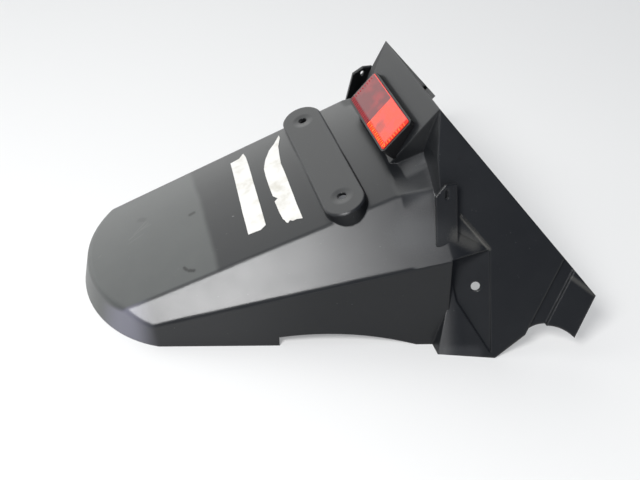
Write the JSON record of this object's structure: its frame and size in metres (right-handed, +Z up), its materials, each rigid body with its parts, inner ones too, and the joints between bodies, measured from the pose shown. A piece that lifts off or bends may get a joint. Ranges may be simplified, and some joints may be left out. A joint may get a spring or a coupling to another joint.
{
  "type": "motorcycle rear mudguard",
  "caption": "Moulded black rear mudguard with a sloping deck, raised plate pad, splayed wings and a red reflector on an upright panel.",
  "frame": {"origin": "middle of the bounding box at the lower edges that the mudguard stands on", "axes": "+X from the tail tip to the wing tips, +Z up, +Y to the left side"},
  "size_m": [0.42, 0.3844, 0.1859],
  "materials": {
    "mudguard_plastic": "black moulded polypropylene with a fine satin grain, faded over the tail",
    "casing_plastic": "black moulded plastic",
    "lens_plastic": "clear red moulded lens with prisms behind a smooth face",
    "zinc_steel": "zinc plated steel",
    "tape_paper": "white crepe paper tape, stuck on the deck"
  },
  "bodies": {
    "root": {"mudguard": "mudguard_plastic", "reflector_casing": "casing_plastic", "reflector_lens": "lens_plastic", "stud_washers": "zinc_steel", "stud_nuts": "zinc_steel"}
  },
  "joints": []
}
